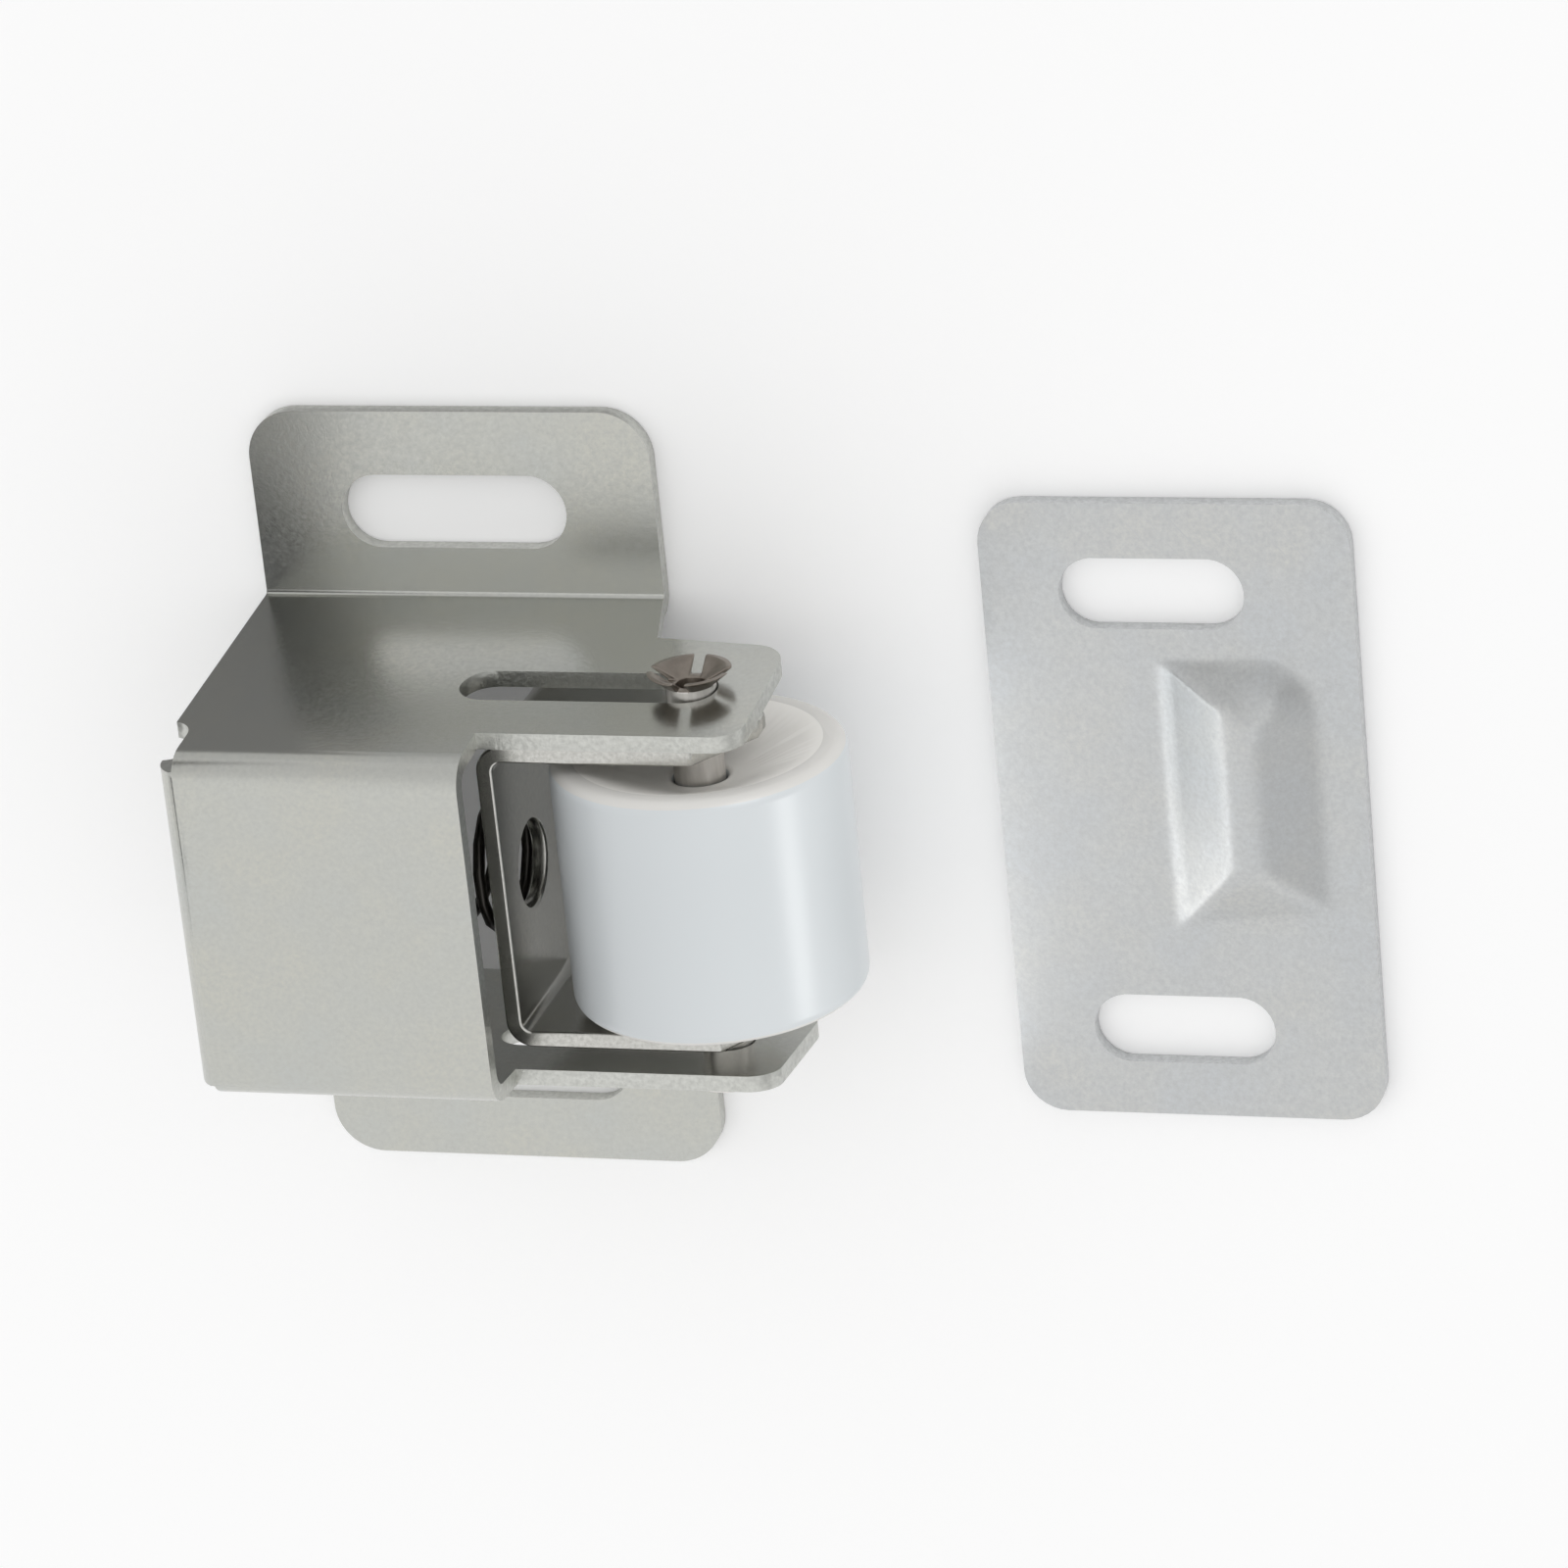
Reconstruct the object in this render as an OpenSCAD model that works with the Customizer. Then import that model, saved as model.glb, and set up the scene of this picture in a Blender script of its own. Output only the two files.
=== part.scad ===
// Roller catch for a cupboard door: a folded sheet housing, a sprung carrier with a nylon roller,
// and a strike plate.
// The flanges' backs and the strike's back lie on z = 0. The roller slides along X and turns about Y.

/* [Housing] */
// Thickness of the housing's sheet
sheet = 1; // [0.8:0.1:1.2]
// Inside radius of the bends round the front plate
bend_r = 1; // [0.6:0.1:1.4]
// Inside radius of the folds at the roots of the flanges
fold_r = 0.3; // [0.2:0.1:0.6]
// Width of the flanges, along the slide
flange_w = 25; // [22:0.5:30]
// Overall span of the two flanges, along the axle
flange_span = 48.8; // [46:0.2:56]
// Radius of the flanges' outer corners
flange_corner_r = 3; // [1:0.5:4]
// Height of the body across the front plate
body_h = 21.5; // [21.1:0.1:23]
// How far each leg spreads outward from the front plate to the flange
leg_spread = 2.1; // [1.5:0.1:3]
// Depth of the body from the mounting face to the front plate
depth = 22.2; // [22:0.2:26]
// Width of the front plate, from the end wall to its open edge
front_w = 18.5; // [14:0.5:19]

/* [Ears] */
// How far the ears reach past the flanges
ear_reach = 9.2; // [9:0.1:14]
// Distance of the ears' front edge behind the front plate's face
ear_setback = 4.2; // [3.2:0.2:5]
// Height of the ears' rear edge above the mounting face, at its root
ear_back = 6; // [4:0.5:7]
// Rise of the ears' rear edge toward the tip
ear_rise = 0.9; // [0:0.1:1.5]
// Step from the flange's side out to the ear's root
neck_step = 1; // [0.4:0.2:2]
// Radius of the ears' rear corners
ear_back_r = 2.2; // [1:0.2:3]
// Radius of the ears' front corners
ear_front_r = 1.8; // [0.6:0.2:2.4]

/* [Screw slots] */
// Length of a flange's screw slot, end to end
slot_l = 14; // [9:0.5:16]
// Width of a flange's screw slot
slot_w = 4.6; // [3:0.1:5.2]
// Distance of each screw slot's middle line from its flange's outer edge
slot_edge = 6.3; // [5.8:0.1:6.6]

/* [End wall] */
// Gap between the end wall and each leg, at the front plate
wall_gap = 0.45; // [0.35:0.05:1]
// Distance of the end wall's free edge above the mounting face
wall_lift = 1; // [0.4:0.2:3]
// Radius of the round corner reliefs
relief_r = 1.45; // [0.8:0.05:1.6]
// Distance of the corner reliefs' centres outside the body's end
relief_out = 0.3; // [0:0.05:0.6]
// Distance of the end wall's bend from the body's sides, where the corners are left open
corner_in = 0.75; // [0.5:0.05:1]
// Diameter of the pressed seat that centres the spring on the end wall
seat_d = 6; // [4:0.2:6.2]
// Height of the pressed spring seat
seat_h = 0.6; // [0.4:0.1:0.8]

/* [Axle] */
// Diameter of the axle
axle_d = 3; // [2.4:0.1:3.2]
// Distance of the axle from the ears' tips at rest
axle_inset = 4.4; // [4:0.1:5.2]
// Side clearance of the axle in the long slots
slot_clear = 0.28; // [0.15:0.01:0.4]
// End clearance of the axle in the long slots
stop_gap = 0.1; // [0.05:0.01:0.2]
// Travel of the roller into the housing
travel = 12.4; // [6:0.1:12.4]
// Clearance of the axle's heads over the ears
head_clear = 0.15; // [0.1:0.05:0.4]
// Diameter of the axle's lower head and of its spread upper end
head_d = 5; // [4.2:0.1:5.6]
// Thickness of the axle's lower head
head_t = 0.8; // [0.5:0.1:1.2]
// Diameter of the hole drilled in the axle's upper end
stake_hole_d = 1.7; // [1:0.1:1.9]
// Depth of the hole drilled in the axle's upper end
stake_hole_depth = 2; // [1:0.5:4]
// Width of the splits between the spread petals
petal_gap = 0.7; // [0.4:0.1:1]

/* [Roller] */
// Diameter of the roller
roller_d = 17.4; // [14:0.2:17.4]
// Gap between each end of the roller and the carrier's arm
roller_gap = 0.85; // [0.4:0.05:1.5]
// Gap between the roller and the inside of the front plate, as it slides in
roller_room = 0.3; // [0.3:0.05:1]
// Radius on the roller's edges
roller_edge_r = 0.8; // [0.4:0.1:1.2]
// Width of the rim round the dished ends
rim_w = 1.4; // [1.4:0.1:3]
// Diameter of the flat at the middle of the dished ends
hub_d = 5.2; // [4.4:0.2:7]
// Depth of the dish in each end
dish_depth = 1.8; // [0.6:0.1:3]
// Radial running clearance of the roller on the axle
bore_clear = 0.06; // [0.02:0.01:0.1]

/* [Carrier] */
// Thickness of the carrier's sheet
carrier_sheet = 1; // [0.7:0.1:1]
// Inside radius of the carrier's bends
carrier_bend_r = 0.6; // [0.4:0.1:1]
// Gap between each arm of the carrier and the leg, at the front plate
carrier_gap = 0.25; // [0.25:0.05:0.5]
// Width of the carrier's sheet strip
carrier_w = 10.4; // [8:0.2:11]
// Shift of the carrier and the roller along the axle, toward the upper leg
side_play = 0.5; // [0:0.1:0.5]
// Gap between the roller and the carrier's base
base_gap = 2.1; // [1:0.1:2.6]
// Reach of the arms' straight edges past the axle
arm_reach = 1.2; // [0.6:0.1:2]
// Length of the tapered nose on each arm
nose_l = 2.8; // [2:0.1:3.2]
// Width of the nose's blunt tip
nose_tip_w = 1.6; // [1:0.2:4]
// Diameter of the hole in the carrier's base
base_hole_d = 5.2; // [4:0.1:5.4]
// Radial clearance of the axle in the carrier's holes
carrier_clear = 0.03; // [0.02:0.01:0.06]

/* [Spring] */
// Diameter of the spring's wire
wire_d = 0.75; // [0.6:0.05:0.8]
// Outside diameter of the spring
spring_d = 8.6; // [8.4:0.1:9.4]
// Turns of the spring, with its two closed end turns
spring_turns = 5; // [4.5:0.5:5]
// Gap left at each end of the spring
spring_gap = 0.08; // [0.04:0.01:0.15]

/* [Strike plate] */
// Thickness of the strike's sheet
strike_sheet = 1; // [0.8:0.1:1.2]
// Width of the strike
strike_w = 22; // [20:0.5:28]
// Height of the strike
strike_h = 39; // [38:0.5:46]
// Radius of the strike's corners
strike_corner_r = 2.6; // [1:0.2:4]
// Place of the strike's centre beside the catch
strike_x = 42.9; // [38:0.1:60]
// Offset of the strike's centre along the axle's direction
strike_y = -0.5; // [-5:0.1:5]
// Length of the strike's screw slots
strike_slot_l = 11; // [8:0.5:13]
// Width of the strike's screw slots
strike_slot_w = 4.4; // [3:0.1:4.8]
// Distance between the strike's screw slots
strike_slot_pitch = 27.8; // [27:0.2:29]
// Offset of the strike's slots from its centre, away from the ridge
strike_slot_shift = 0.9; // [0:0.1:1.2]
// Offset of the ridge's near foot from the strike's centre
ridge_foot = -0.8; // [-1.5:0.1:0]
// Width of the ridge at its foot
ridge_w = 9.4; // [8:0.2:10]
// Length of the ridge at its foot
ridge_l = 17.6; // [14:0.2:17.8]
// Offset of the ridge's middle from the strike's centre
ridge_shift = 1; // [0:0.1:1]
// Height of the ridge above the plate
ridge_h = 2.6; // [2.2:0.1:3.5]
// Height of the ridge's shoulder, on its far side
shoulder_h = 0.9; // [0.4:0.1:1.2]
// How far the shoulder leans in
shoulder_lean = 0.7; // [0.3:0.1:1]
// Distance of the crest from the ridge's near foot
crest_run = 4.2; // [3.6:0.1:5]
// Length of the straight crest
crest_l = 11.4; // [8:0.2:12]
// Offset of the crest's middle from the ridge's middle
crest_shift = 1.8; // [0:0.1:2]
// Radius of the rounded crest
crest_r = 1.5; // [1.4:0.1:2]

/* [Hidden] */
$fn = 64;
FACETS = 24;
SPAN = 200;
CUT = 1;
BEND_STEPS = 8;
FOLD_STEPS = 4;
CORNER_STEPS = 12;

// The housing's section: each leg leans outward, so the centres of its bends follow its outward normal
outer_r = bend_r + sheet;
half_h = body_h / 2;
leg_len = sqrt(depth * depth + leg_spread * leg_spread);
leg_lean = atan2(leg_spread, depth);
bend_c = [half_h - outer_r * (leg_len - leg_spread) / depth, depth - outer_r];
fold_z = sheet + fold_r;
fold_c = [half_h + leg_spread + (fold_r * leg_len - fold_z * leg_spread) / depth, fold_z];

// Places along the slide
x_back = -flange_w / 2;
x_flange = flange_w / 2;
x_front = x_back + front_w;
x_neck = x_flange + neck_step;
x_ear = x_flange + ear_reach;
z_ear = depth - ear_setback;
ear_slope = atan2(ear_rise, x_ear - x_neck);
ear_back_x = x_ear - ear_back_r;
ear_back_z = ear_back + tan(ear_slope) * (ear_back_x - x_neck) + ear_back_r / cos(ear_slope);

// Places along the axle, across the housing
inner_h = body_h - 2 * sheet;
wall_h = inner_h - 2 * wall_gap;
carrier_h = inner_h - 2 * carrier_gap;
roller_l = carrier_h - 2 * (carrier_sheet + roller_gap);
slot_pitch = flange_span - 2 * slot_edge;

// The axle at rest, with the roller just clear of the front plate
axle_x = x_ear - axle_inset;
axle_z = depth - sheet - roller_room - roller_d / 2;

// The long slots take the axle over its whole travel, and their outer ends stop it at rest
axle_slot_w = axle_d + 2 * slot_clear;
axle_slot_out = axle_x + axle_d / 2 + stop_gap;
axle_slot_in = axle_x - travel - axle_d / 2 - stop_gap;

// Leg surface above the axle, with the rise across half a head on the leaning leg
leg_top = half_h + leg_spread * (1 - axle_z / depth);
head_seat = leg_top + leg_spread / depth * head_d / 2 + head_clear;

// Carrier
carrier_outer_r = carrier_bend_r + carrier_sheet;
base_in = axle_x - roller_d / 2 - base_gap;
base_out = base_in - carrier_sheet;
arm_end = axle_x + arm_reach;
nose_end = arm_end + nose_l;

// Spring
wall_in = x_back + sheet;
coil_r = (spring_d - wire_d) / 2;
spring_from = wall_in + spring_gap + wire_d / 2;
spring_to = base_out - spring_gap - wire_d / 2;
WIRE_SIDES = 8;
RINGS_PER_TURN = 14;

// Strike ridge, in the strike's own plane
crest_u = ridge_foot + crest_run;
crest_v = ridge_shift + crest_shift;
crest_z = strike_sheet + ridge_h - crest_r;
FOOT_NEAR_R = 1.4;
FOOT_FAR_R = 4;

// A flat obround that runs along x
module obround(length, width) {
    square([length - width, width], center = true);
    for (side = [-1, 1])
        translate([side * (length - width) / 2, 0])
            circle(d = width);
}

// A quarter of a bend round a centre, in the second quadrant
module quarter_bend(inner_r, thickness) {
    outer = inner_r + thickness;
    difference() {
        intersection() {
            circle(r = outer);
            translate([-outer, 0])
                square(outer);
        }
        circle(r = inner_r);
    }
}

// What a rounded corner takes off a square one, drawn in the corner's first quadrant
module corner_waste(r) {
    difference() {
        translate([-r, -r])
            square([r + CUT, r + CUT]);
        translate([-r, -r])
            circle(r = r);
    }
}

// Points along an arc, with both ends
function arc(c, r, from, to, steps) =
    [for (i = [0 : steps]) let (a = from + (to - from) * i / steps) c + r * [cos(a), sin(a)]];

// A half outline that ends on the middle line, joined to its mirror image
function both_halves(half) = concat(half, [for (i = [len(half) - 1 : -1 : 0]) [-half[i][0], half[i][1]]]);

// The hat-shaped section filled in: the axle's direction to the right, the front plate on top
module filled_section() {
    polygon(both_halves(concat(
        arc(bend_c, outer_r, 90, leg_lean, BEND_STEPS),
        arc(fold_c, fold_r, 180 + leg_lean, 270, FOLD_STEPS),
        [[flange_span / 2, sheet], [flange_span / 2, 0]]
    )));
}

// The channel inside that section, open toward the mounting face
module channel_section() {
    polygon(both_halves(concat(
        arc(bend_c, bend_r, 90, leg_lean, BEND_STEPS),
        arc(fold_c, fold_r + sheet, 180 + leg_lean, 270, FOLD_STEPS),
        [[fold_c[0], -CUT]]
    )));
}

// A section carried along the slide, from one place to another
module along_slide(from, to) {
    translate([from, 0, 0])
        rotate([90, 0, 90])
            linear_extrude(to - from)
                children();
}

// An outline seen along the axle, carried right across the catch
module across(width = SPAN) {
    rotate([90, 0, 0])
        linear_extrude(width, center = true)
            children();
}

// The outline of flange, leg, ear and front plate, seen along the axle
module side_outline() {
    difference() {
        polygon(concat(
            [[x_back, 0], [x_flange, 0], [x_flange, fold_z], [x_neck, ear_back]],
            arc([ear_back_x, ear_back_z], ear_back_r, ear_slope - 90, 0, CORNER_STEPS),
            [[x_ear, z_ear], [x_front, z_ear], [x_front, depth], [x_back, depth]]
        ));
        translate([x_ear, z_ear])
            corner_waste(ear_front_r);
        translate([x_back, depth])
            mirror([1, 0])
                corner_waste(outer_r);
    }
}

// The channel's own outline seen along the axle: closed by the end wall, open at the roller's end
module channel_outline() {
    difference() {
        translate([wall_in, -CUT])
            square([SPAN, depth - sheet + CUT]);
        translate([wall_in, depth - sheet])
            mirror([1, 0])
                corner_waste(bend_r);
    }
}

// The channel, and what parts the end wall from the legs and from the mounting face
module channel() {
    intersection() {
        along_slide(x_back, SPAN)
            channel_section();
        across()
            channel_outline();
    }
    difference() {
        intersection() {
            along_slide(x_back - CUT, wall_in + CUT)
                channel_section();
            across()
                translate([-SPAN / 2, -SPAN])
                    square([SPAN, SPAN + depth - outer_r]);
        }
        across(wall_h)
            translate([-SPAN / 2, wall_lift])
                square(SPAN);
    }
}

module screw_slots() {
    for (side = [-1, 1])
        translate([0, side * slot_pitch / 2, -CUT])
            linear_extrude(sheet + 2 * CUT)
                obround(slot_l, slot_w);
}

module flange_corners() {
    for (side = [-1, 1], end = [-1, 1])
        translate([end * flange_w / 2, side * flange_span / 2, -CUT])
            linear_extrude(sheet + 2 * CUT)
                scale([end, side])
                    corner_waste(flange_corner_r);
}

// Round reliefs in the legs, and the open corners beside the end wall's bend
module corner_reliefs() {
    for (side = [-1, 1])
        translate([x_back - relief_out, 0, depth - outer_r - relief_r]) {
            translate([0, side * (wall_h + SPAN) / 2, 0])
                rotate([90, 0, 0])
                    cylinder(r = relief_r, h = SPAN, center = true);
            translate([0, side * (half_h - corner_in + SPAN / 2), SPAN / 2])
                cube([2 * relief_r, SPAN, SPAN], center = true);
        }
}

module axle_slots() {
    across()
        translate([(axle_slot_in + axle_slot_out) / 2, axle_z])
            obround(axle_slot_out - axle_slot_in, axle_slot_w);
}

module housing() {
    color([0.74, 0.74, 0.71])
        difference() {
            union() {
                difference() {
                    intersection() {
                        along_slide(x_back, x_ear)
                            filled_section();
                        across()
                            side_outline();
                    }
                    channel();
                    screw_slots();
                    flange_corners();
                    corner_reliefs();
                    axle_slots();
                }
                translate([wall_in - sheet / 2, side_play, axle_z])
                    rotate([0, 90, 0])
                        cylinder(d = seat_d, h = sheet / 2 + seat_h);
            }
            // The hollow behind the pressed spring seat
            translate([x_back, side_play, axle_z])
                rotate([0, 90, 0])
                    cylinder(d = seat_d - 2 * seat_h, h = 2 * seat_h, center = true);
        }
}

// One arm of the carrier with its half of the base, drawn in the plane of base and arms
module half_carrier() {
    bend_x = base_out + carrier_outer_r;
    bend_y = carrier_h / 2 - carrier_outer_r;
    translate([base_out, 0])
        square([carrier_sheet, bend_y]);
    translate([bend_x, bend_y])
        quarter_bend(carrier_bend_r, carrier_sheet);
    translate([bend_x, carrier_h / 2 - carrier_sheet])
        square([nose_end - bend_x, carrier_sheet]);
}

// The carrier's outline seen along the axle, with the tapered noses
module carrier_outline() {
    polygon([
        [base_out, -carrier_w / 2],
        [arm_end, -carrier_w / 2],
        [nose_end, -nose_tip_w / 2],
        [nose_end, nose_tip_w / 2],
        [arm_end, carrier_w / 2],
        [base_out, carrier_w / 2]
    ]);
}

module roller_carrier() {
    color([0.7, 0.7, 0.68])
        translate([0, side_play, axle_z])
            difference() {
                intersection() {
                    linear_extrude(carrier_w, center = true) {
                        half_carrier();
                        mirror([0, 1])
                            half_carrier();
                    }
                    across()
                        carrier_outline();
                }
                translate([base_out, 0, 0])
                    rotate([0, 90, 0])
                        cylinder(d = base_hole_d, h = 4 * carrier_sheet, center = true);
                translate([axle_x, 0, 0])
                    rotate([90, 0, 0])
                        cylinder(d = axle_d + 2 * carrier_clear, h = 2 * carrier_h, center = true);
            }
}

// Half of the roller's section: radius to the right, axle upward
module roller_half_section() {
    bore_r = axle_d / 2 + bore_clear;
    edge = roller_d / 2 - roller_edge_r;
    rim_in = roller_d / 2 - rim_w;
    hub_y = roller_l / 2 - dish_depth;
    polygon([[bore_r, 0], [rim_in, 0], [rim_in, roller_l / 2], [hub_d / 2, hub_y], [bore_r, hub_y]]);
    translate([rim_in, 0])
        square([edge - rim_in, roller_l / 2]);
    translate([edge, 0])
        square([roller_edge_r, roller_l / 2 - roller_edge_r]);
    translate([edge, roller_l / 2 - roller_edge_r])
        intersection() {
            circle(r = roller_edge_r);
            square(roller_edge_r);
        }
}

module roller() {
    color([0.93, 0.94, 0.95])
        translate([axle_x, side_play, axle_z])
            rotate([90, 0, 0])
                rotate_extrude() {
                    roller_half_section();
                    mirror([0, 1])
                        roller_half_section();
                }
}

// The axle stands along z here: a flat head below, and above it an end drilled, split and spread
module upright_axle() {
    petal_l = head_t;
    spread = (head_d - petal_gap - stake_hole_d) / petal_l;
    difference() {
        union() {
            translate([0, 0, -head_seat])
                cylinder(d = axle_d, h = 2 * head_seat);
            translate([0, 0, -head_seat - head_t])
                cylinder(d = head_d, h = head_t);
            translate([0, 0, head_seat])
                cylinder(d1 = axle_d, d2 = head_d, h = petal_l);
        }
        translate([0, 0, head_seat + petal_l - stake_hole_depth])
            cylinder(d = stake_hole_d, h = stake_hole_depth + CUT);
        translate([0, 0, head_seat])
            cylinder(d1 = stake_hole_d, d2 = stake_hole_d + spread * (petal_l + CUT), h = petal_l + CUT);
        for (turn = [0, 90])
            rotate([0, 0, turn])
                translate([-head_d, -petal_gap / 2, head_seat])
                    cube([2 * head_d, petal_gap, petal_l + CUT]);
    }
}

module axle() {
    color([0.6, 0.6, 0.58])
        translate([axle_x, 0, axle_z])
            rotate([-90, 0, 0])
                upright_axle();
}

// Advance of the wire's centre at a fraction of the coil: the first and last turns are closed
function coil_advance(t) =
    let (turn = t * spring_turns, run = spring_to - spring_from, open = spring_turns - 2)
    turn < 1 ? wire_d * turn
    : turn > spring_turns - 1 ? run - wire_d * (spring_turns - turn)
    : wire_d + (run - 2 * wire_d) * (turn - 1) / open;

// A ring of points round the wire at a fraction of the coil
function wire_ring(t) =
    let (a = 360 * t * spring_turns, out = [0, cos(a), sin(a)])
    [for (k = [0 : WIRE_SIDES - 1])
        let (b = 360 * k / WIRE_SIDES)
        [spring_from + coil_advance(t), 0, 0] + out * (coil_r + wire_d / 2 * cos(b))
        + [wire_d / 2 * sin(b), 0, 0]];

module spring() {
    rings = round(spring_turns * RINGS_PER_TURN);
    points = [for (i = [0 : rings]) each wire_ring(i / rings)];
    sides = [for (i = [0 : rings - 1], k = [0 : WIRE_SIDES - 1])
        let (a = i * WIRE_SIDES + k, b = i * WIRE_SIDES + (k + 1) % WIRE_SIDES)
        [a, a + WIRE_SIDES, b + WIRE_SIDES, b]];
    start_cap = [for (k = [0 : WIRE_SIDES - 1]) k];
    end_cap = [for (k = [WIRE_SIDES - 1 : -1 : 0]) rings * WIRE_SIDES + k];
    color([0.55, 0.55, 0.54])
        translate([0, side_play, axle_z])
            polyhedron(points, concat([start_cap], sides, [end_cap]));
}

// The pressed ridge of the strike: its foot blended to a rounded crest, set in by a sheet for its hollow
module ridge(inset) {
    near = ridge_foot + inset;
    far = ridge_foot + ridge_w - inset;
    half = ridge_l / 2 - inset;
    near_r = FOOT_NEAR_R - inset / 2;
    far_r = FOOT_FAR_R - inset / 2;
    hull() {
        for (side = [-1, 1]) {
            translate([near + near_r, ridge_shift + side * (half - near_r), -inset])
                cylinder(r = near_r, h = strike_sheet, $fn = FACETS);
            translate([far - far_r, ridge_shift + side * (half - far_r), -inset]) {
                cylinder(r = far_r, h = strike_sheet, $fn = FACETS);
                translate([0, 0, strike_sheet])
                    cylinder(r1 = far_r, r2 = far_r - shoulder_lean, h = shoulder_h, $fn = FACETS);
            }
            translate([crest_u, crest_v + side * (crest_l / 2 - crest_r), crest_z])
                sphere(r = crest_r - inset, $fn = FACETS);
        }
    }
}

module strike_plate() {
    color([0.77, 0.78, 0.78])
        translate([strike_x, strike_y, 0])
            difference() {
                union() {
                    linear_extrude(strike_sheet)
                        difference() {
                            square([strike_w, strike_h], center = true);
                            for (end = [-1, 1], side = [-1, 1])
                                translate([end * strike_w / 2, side * strike_h / 2])
                                    scale([end, side])
                                        corner_waste(strike_corner_r);
                        }
                    ridge(0);
                }
                ridge(strike_sheet);
                for (side = [-1, 1])
                    translate([-strike_slot_shift, side * strike_slot_pitch / 2, -CUT])
                        linear_extrude(strike_sheet + 2 * CUT)
                            obround(strike_slot_l, strike_slot_w);
            }
}

housing();
roller_carrier();
roller();
axle();
spring();
strike_plate();
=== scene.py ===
"""Looks of a cupboard's roller catch and its strike plate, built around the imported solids."""

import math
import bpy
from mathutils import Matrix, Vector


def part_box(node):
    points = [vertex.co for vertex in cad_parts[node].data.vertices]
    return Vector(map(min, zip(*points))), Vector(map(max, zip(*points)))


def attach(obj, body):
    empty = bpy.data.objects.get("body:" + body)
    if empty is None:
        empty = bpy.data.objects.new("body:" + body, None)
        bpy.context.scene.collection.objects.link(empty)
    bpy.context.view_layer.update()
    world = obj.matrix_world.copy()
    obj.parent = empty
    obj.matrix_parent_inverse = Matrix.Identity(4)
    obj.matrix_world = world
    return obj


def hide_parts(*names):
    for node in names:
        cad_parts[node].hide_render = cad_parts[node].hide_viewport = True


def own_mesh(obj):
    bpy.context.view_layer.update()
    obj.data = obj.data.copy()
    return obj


bl_info = {
    "name": "Roller catch",
    "version": (1, 0, 0),
    "blender": (4, 5, 0),
    "location": "View3D > Sidebar > Catch",
    "description": "Dresses the solids of a roller catch and its strike plate, and lights them",
    "category": "Object",
}

import bmesh
import bpy
from bpy.props import FloatProperty, FloatVectorProperty, IntProperty, PointerProperty
from mathutils import Matrix, Quaternion, Vector
from mathutils.bvhtree import BVHTree
from mathutils.geometry import area_tri

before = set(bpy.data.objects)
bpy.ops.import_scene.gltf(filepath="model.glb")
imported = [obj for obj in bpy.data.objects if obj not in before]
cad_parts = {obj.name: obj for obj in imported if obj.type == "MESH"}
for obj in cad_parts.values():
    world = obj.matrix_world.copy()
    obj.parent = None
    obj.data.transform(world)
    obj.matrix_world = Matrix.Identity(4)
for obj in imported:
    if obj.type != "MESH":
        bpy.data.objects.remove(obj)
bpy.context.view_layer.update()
MM = 0.001

# Welding of the solids' triangles
MERGE = 0.002 * MM
FLAT = math.radians(0.3)

# Thickness of the sheet, and how much metal lies behind a cut face, in sheets
SHEET = 1.0 * MM
JUST_INSIDE = 0.02
CUT_DEPTH = 1.35


# Properties


class CatchMetal(bpy.types.PropertyGroup):
    """Colours and finish of the plated steel"""

    nickel: FloatVectorProperty(
        name="Nickel", description="Reflected colour of the plated housing", subtype="COLOR",
        size=3, default=(0.545, 0.55, 0.52), min=0.0, max=1.0,
    )
    strike: FloatVectorProperty(
        name="Strike", description="Reflected colour of the strike plate", subtype="COLOR",
        size=3, default=(0.585, 0.595, 0.598), min=0.0, max=1.0,
    )
    carrier: FloatVectorProperty(
        name="Carrier", description="Reflected colour of the roller's carrier", subtype="COLOR",
        size=3, default=(0.53, 0.525, 0.495), min=0.0, max=1.0,
    )
    axle: FloatVectorProperty(
        name="Axle", description="Reflected colour of the axle", subtype="COLOR",
        size=3, default=(0.8, 0.775, 0.745), min=0.0, max=1.0,
    )
    spread_end: FloatVectorProperty(
        name="Spread end", description="Reflected colour of the axle's raw spread end", subtype="COLOR",
        size=3, default=(0.3, 0.265, 0.23), min=0.0, max=1.0,
    )
    # The spring's colour is dark steel painted darker still, as painted shade in the gap beside the front
    # plate where the spring shows.
    wire: FloatVectorProperty(
        name="Spring wire", description="Reflected colour of the spring", subtype="COLOR",
        size=3, default=(0.075, 0.07, 0.065), min=0.0, max=1.0,
    )
    roughness: FloatProperty(
        name="Roughness", description="Roughness of the plating", subtype="FACTOR",
        default=0.22, min=0.0, max=1.0,
    )
    edge_round: FloatProperty(
        name="Edge round", description="Radius left on the sheared edges", unit="LENGTH",
        default=0.18 * MM, min=0.0,
    )


class CatchNylon(bpy.types.PropertyGroup):
    """Colour and finish of the moulded roller"""

    white: FloatVectorProperty(
        name="White", description="Colour of the roller's turned face", subtype="COLOR",
        size=3, default=(0.6, 0.63, 0.645), min=0.0, max=1.0,
    )
    # The rim and dish are the same nylon painted warmer and lighter than the side: a painted glow of light
    # passing through the nylon into the shaded ends.
    rim: FloatVectorProperty(
        name="Rim", description="Colour of the rims round the roller's ends", subtype="COLOR",
        size=3, default=(0.65, 0.64, 0.615), min=0.0, max=1.0,
    )
    dish: FloatVectorProperty(
        name="Dish", description="Colour of the roller's dished ends", subtype="COLOR",
        size=3, default=(0.84, 0.825, 0.79), min=0.0, max=1.0,
    )
    roughness: FloatProperty(
        name="Roughness", description="Roughness of the roller's face", subtype="FACTOR",
        default=0.31, min=0.0, max=1.0,
    )


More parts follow.
